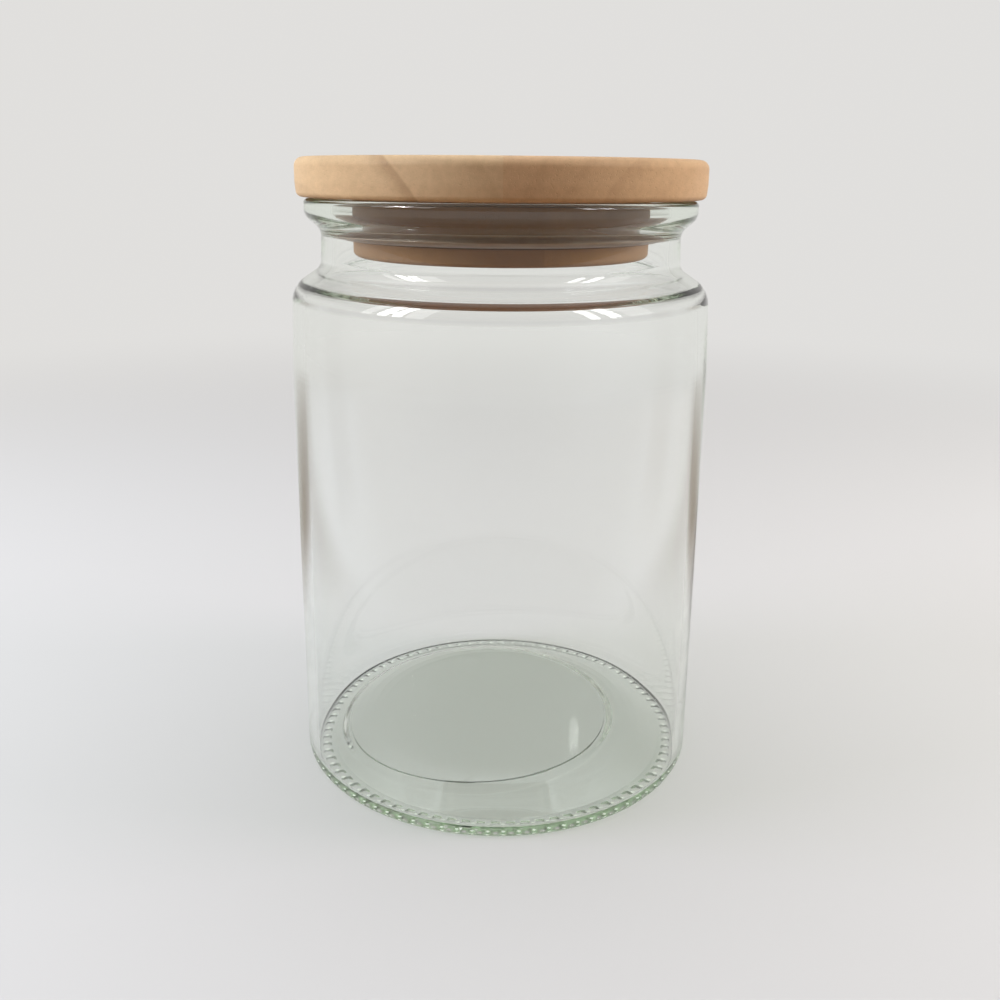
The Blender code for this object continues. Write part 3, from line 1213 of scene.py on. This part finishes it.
@dataclass
class SealingRing:
    """The silicone ring in the plug's groove, with two soft lips that point up and outwards."""

    silicone: bpy.types.Material
    band_inset: float = 3.2 * MM
    groove_reach: float = 6.3 * MM
    lip_count: int = 2
    lip_thickness: float = 0.9 * MM
    lip_lift: float = 0.6 * MM
    lip_start: float = 0.6
    soft_edge: float = 0.3 * MM

    def outline(self) -> list[Corner]:
        """Gives the closed section of the ring.

        Returns:
            The corners, round the band and its lips.
        """
        low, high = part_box("sealing_ring")
        tip = high.x
        band = tip - self.band_inset
        inner = tip - self.groove_reach
        corners = [Corner(inner, high.z, self.soft_edge), Corner(band, high.z, self.soft_edge)]
        for lip in range(self.lip_count):
            root = high.z - (high.z - low.z) * (lip + self.lip_start) / self.lip_count
            half = self.lip_thickness / 2
            corners += [
                Corner(band, root + half, self.soft_edge),
                Corner(tip, root + self.lip_lift + half / 2, self.soft_edge),
                Corner(tip, root + self.lip_lift - half / 2, self.soft_edge),
                Corner(band, root - half, self.soft_edge),
            ]
        return corners + [Corner(band, low.z, self.soft_edge), Corner(inner, low.z, self.soft_edge)]

    def build(self) -> bpy.types.Object:
        """Turns the ring and hands it to the frame.

        Returns:
            The ring's object.
        """
        shape = Turning(self.outline(), closed=True, steps=192, arc_step=math.radians(18)).solid()
        ring = Piece.place("silicone_ring", shape, self.silicone)
        Piece.fit(ring, Body.SEAL, Slot.SILICONE, "sealing_ring")
        return ring


class Use(Enum):
    """What a studio light is for."""

    WOOD = "lights the wood"
    GLEAM = "gleams on the glass"
    GLINT = "glints inside the glass as well"


@dataclass(frozen=True)
class Softbox:
    """A rectangular studio light that looks at the jar."""

    name: str
    place: tuple[float, float, float]
    size: tuple[float, float]
    power: float
    colour: Colour = (1.0, 1.0, 1.0)
    use: Use = Use.WOOD

    def hang(self, target: Vector) -> bpy.types.Object:
        """Hangs the light.

        Args:
            target: The point that it looks at.

        Returns:
            The light's object.
        """
        lamp = bpy.data.lights.new(self.name, "AREA")
        lamp.shape = "RECTANGLE"
        lamp.size, lamp.size_y = self.size
        lamp.energy = self.power
        lamp.color = self.colour
        thing = bpy.data.objects.new(self.name, lamp)
        bpy.context.scene.collection.objects.link(thing)
        turn = (target - Vector(self.place)).to_track_quat("-Z", "Y")
        thing.matrix_world = Matrix.Translation(self.place) @ turn.to_matrix().to_4x4()
        thing.visible_camera = False
        thing.visible_transmission = self.use is Use.GLINT
        thing.visible_glossy = self.use is not Use.WOOD
        thing.visible_diffuse = self.use is Use.WOOD
        return thing


@dataclass(frozen=True)
class Pane:
    """One pane of a window of light.

    It lies offset to the right of the window's middle, and gives brightness watts per square metre.
    """

    offset: float
    width: float
    brightness: float


@dataclass(frozen=True)
class Window:
    """A window of light for gleams, in panes that stand side by side."""

    name: str
    middle: tuple[float, float, float]
    height: float
    panes: tuple[Pane, ...]

    def softboxes(self) -> list[Softbox]:
        """Gives each pane its place and its power.

        Returns:
            The panes as lights.
        """
        along = Vector((-self.middle[1], self.middle[0], 0.0)).normalized()
        boxes = []
        for number, pane in enumerate(self.panes):
            place = tuple(Vector(self.middle) + pane.offset * along)
            size = (pane.width, self.height)
            power = pane.brightness * pane.width * self.height
            boxes.append(Softbox(f"{self.name}_{number}", place, size, power, use=Use.GLEAM))
        return boxes


@dataclass
class Studio:
    """A pale floor, soft light and the camera at the photograph's place."""

    floor_radius: float = 6.0
    floor_drop: float = 0.02 * MM
    floor_roughness: float = 0.7
    floor_colour: Colour = (0.535, 0.535, 0.537)
    bounce_colour: Colour = (0.23, 0.115, 0.045)
    mirrored_colour: Colour = (0.20, 0.165, 0.13)
    card_colour: Colour = (0.23, 0.20, 0.17)
    card_fade: Range = (0.07, 0.22)
    card_edge: Range = (-0.45, -0.95)
    backdrop_colour: Colour = (0.75, 0.74, 0.725)
    wall_colour: Colour = (0.62, 0.61, 0.59)
    wall_top: Range = (0.30, 0.50)
    dim_colour: Colour = (0.34, 0.33, 0.31)
    ceiling_colour: Colour = (1.95, 1.97, 2.00)
    ceiling_edge: Range = (0.55, 0.95)
    front_tint: Colour = (0.13, 0.065, 0.025)
    front_edge: Range = (-0.7, 0.3)
    horizon_band: Range = (0.16, 0.26)
    front_floor: Range = (-0.055, -0.15)
    floor_fade: Range = (0.16, 0.75)
    focal_share: float = 1.001
    pitch: float = math.radians(15.08)
    roll: float = math.radians(0.53)
    camera_place: tuple[float, float, float] = (0.0, -0.2480, 0.1465)
    shift: tuple[float, float] = (0.0010, -0.0562)
    sensor: float = 36.0
    light_target: tuple[float, float, float] = (0.0, 0.0, 0.10)
    lights: tuple[Softbox, ...] = (
        Softbox("left_softbox", (-0.66, -0.10, 0.40), (0.34, 0.34), 4.9, (0.95, 1.0, 1.08)),
        Softbox("right_softbox", (0.66, -0.02, 0.39), (0.26, 0.26), 3.9, (1.0, 0.95, 0.89)),
        Softbox("small_lamp", (-0.56, -0.33, 0.46), (0.08, 0.03), 1.0, use=Use.GLINT),
    )
    windows: tuple[Window, ...] = (
        Window(
            "left_window",
            (-0.54, -0.35, 0.51),
            0.42,
            (
                Pane(-0.200, 0.085, 9.0),
                Pane(-0.080, 0.080, 34.0),
                Pane(0.020, 0.070, 34.0),
                Pane(0.140, 0.140, 8.0),
            ),
        ),
        Window(
            "right_window",
            (0.56, -0.33, 0.51),
            0.40,
            (Pane(-0.105, 0.075, 30.0), Pane(0.036, 0.090, 34.0), Pane(0.240, 0.220, 5.0)),
        ),
    )

    def lay_floor(self) -> None:
        """Lays the pale floor, a hair under the foot."""
        shape = bmesh.new()
        bmesh.ops.create_circle(
            shape,
            cap_ends=True,
            segments=96,
            radius=self.floor_radius,
            matrix=Matrix.Translation((0.0, 0.0, -self.floor_drop)),
        )
        floor = Piece.place("studio_floor", shape, self.floor_finish())

    def floor_finish(self) -> bpy.types.Material:
        """Makes the floor's finish, which fades into the backdrop far out.

        The glass sees dimmer ground out at the two back diagonals, mirrors a dim ground before the jar, and
        what the floor throws back is dim and warm.

        Returns:
            The material.
        """
        material, graph = blank_material("pale_floor")
        place = graph.add("TexCoord").outputs["Object"]
        axes = graph.add("SeparateXYZ", {"Vector": place}).outputs
        far = graph.vector_math("LENGTH", v0=place).outputs["Value"]
        ray = graph.add("LightPath").outputs
        turn = graph.math("MULTIPLY", graph.math("ARCTAN2", axes["Y"], axes["X"]), 4.0)
        diagonal = graph.remap(graph.math("COSINE", turn), *self.card_edge, 0.0, 1.0)
        diagonal = graph.math("MULTIPLY", diagonal, graph.math("GREATER_THAN", axes["Y"], 0.0))
        laid = graph.remap(far, *self.card_fade, 0.0, 1.0)
        card = graph.math("MULTIPLY", diagonal, laid)
        through_glass = graph.math("MAXIMUM", ray["Is Transmission Ray"], ray["Is Glossy Ray"])
        card = graph.math("MULTIPLY", card, through_glass)
        colour = graph.mix(card, (*self.floor_colour, 1.0), (*self.card_colour, 1.0))
        not_through = graph.math("SUBTRACT", 1.0, ray["Is Transmission Ray"])
        mirrored = graph.math("MULTIPLY", ray["Is Glossy Ray"], not_through)
        front = graph.remap(axes["Y"], *self.front_floor, 0.0, 1.0)
        front = graph.math("MULTIPLY", front, mirrored)
        colour = graph.mix(front, colour, (*self.mirrored_colour, 1.0))
        matt = graph.add(
            "BsdfPrincipled",
            {
                "Base Color": graph.mix(ray["Is Diffuse Ray"], colour, (*self.bounce_colour, 1.0)),
                "Roughness": self.floor_roughness,
                "Specular IOR Level": 0.1,
            },
        )
        haze = graph.add("Emission", {"Color": (*self.backdrop_colour, 1.0)})
        blend = graph.remap(far, *self.floor_fade, 0.0, 1.0)
        surface = graph.add(
            "MixShader", {0: blend, 1: matt.outputs["BSDF"], 2: haze.outputs["Emission"]}
        )
        graph.add("OutputMaterial", {"Surface": surface.outputs["Shader"]})
        return material

    def light_room(self) -> None:
        """Gives the room its light: a pale wall, dim above it, bright overhead, dim and warm in front."""
        world = bpy.data.worlds.new("studio_room")
        bpy.context.scene.world = world
        world.use_nodes = True
        world.node_tree.nodes.clear()
        graph = Graph(world.node_tree)
        look = graph.add("SeparateXYZ", {"Vector": graph.add("TexCoord").outputs["Generated"]}).outputs
        above = graph.remap(look["Z"], *self.wall_top, 0.0, 1.0)
        colour = graph.mix(above, (*self.wall_colour, 1.0), (*self.dim_colour, 1.0))
        overhead = graph.remap(look["Z"], *self.ceiling_edge, 0.0, 1.0)
        colour = graph.mix(overhead, colour, (*self.ceiling_colour, 1.0))
        behind = graph.remap(look["Y"], *self.front_edge, 0.0, 1.0)
        tint = graph.mix(behind, (*self.front_tint, 1.0), (1.0, 1.0, 1.0, 1.0))
        colour = graph.mix(1.0, colour, tint, blend="MULTIPLY")
        ray = graph.add("LightPath").outputs
        horizon = graph.remap(look["Z"], *self.horizon_band, 1.0, 0.0)
        through_glass = graph.math("MULTIPLY", ray["Is Transmission Ray"], horizon)
        seen = graph.math("MAXIMUM", ray["Is Camera Ray"], through_glass)
        colour = graph.mix(seen, colour, (*self.backdrop_colour, 1.0))
        room = graph.add("Background", {"Color": colour, "Strength": 1.0})
        graph.add("OutputWorld", {"Surface": room.outputs["Background"]})

    def hang_lights(self) -> None:
        """Hangs the lights and the panes of the windows."""
        panes = [pane for window in self.windows for pane in window.softboxes()]
        for light in [*self.lights, *panes]:
            light.hang(Vector(self.light_target))

    def set_camera(self) -> None:
        """Sets the camera where the photographer held theirs."""
        lens = bpy.data.cameras.new("photograph_camera")
        lens.sensor_width = self.sensor
        lens.lens = self.focal_share * self.sensor
        lens.shift_x, lens.shift_y = self.shift
        lens.clip_start = 0.01
        camera = bpy.data.objects.new("photograph_camera", lens)
        bpy.context.scene.collection.objects.link(camera)
        camera.matrix_world = (
            Matrix.Translation(self.camera_place)
            @ Matrix.Rotation(math.pi / 2 - self.pitch, 4, "X")
            @ Matrix.Rotation(self.roll, 4, "Z")
        )
        bpy.context.scene.camera = camera

    def build(self) -> None:
        """Sets up the whole studio."""
        self.set_camera()
        self.lay_floor()
        self.light_room()
        self.hang_lights()
        scene = bpy.context.scene
        scene.view_settings.view_transform = "Standard"
        scene.cycles.caustics_reflective = False
        scene.cycles.caustics_refractive = False
        scene.cycles.max_bounces = 32
        scene.cycles.transmission_bounces = 32
        scene.cycles.glossy_bounces = 16
        scene.cycles.transparent_max_bounces = 24


DISC_WOOD = WoodFinish(
    name="lid_wood_disc",
    seam=0.3,
    board_width=52.0,
    pith_side=-3.0,
    pith_depth=-111.0,
    ring_spacing=7.5,
    ring_strength=0.5,
    main_ring=106.0,
    first_tint=(0.62, 0.438, 0.257),
    second_tint=(0.603, 0.40, 0.232),
    ring_tint=(0.36, 0.22, 0.12),
)
# Same wood as the disc, but in darker, warmer tints: painted shade, as the plug sits under the disc inside
# the jar's neck.
SHADED_PLUG_WOOD = WoodFinish(
    name="lid_wood_plug_painted_shade",
    seam=9.0,
    board_width=60.0,
    pith_side=14.0,
    pith_depth=-95.0,
    ring_spacing=5.5,
    ring_strength=0.4,
    main_ring=16.0,
    first_tint=(0.34, 0.18, 0.08),
    second_tint=(0.38, 0.205, 0.09),
    ring_tint=(0.30, 0.17, 0.09),
    sheen=0.1,
)


def main() -> None:
    """Builds the studio and each sub-assembly, and logs each piece's vertex count."""
    logging.basicConfig(level=logging.INFO, format="%(name)s: %(message)s")
    Studio().build()
    grain = BoardGrain().group()
    marks = HandlingMarks().group()
    GlassJar(GlassFinish().material(marks), WearAndGlintGlassFinish().material()).build()
    WoodenLid(DISC_WOOD.material(grain, marks), SHADED_PLUG_WOOD.material(grain, marks)).build()
    SealingRing(SiliconeFinish().material(marks)).build()
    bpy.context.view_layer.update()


if __name__ == "__main__":
    main()
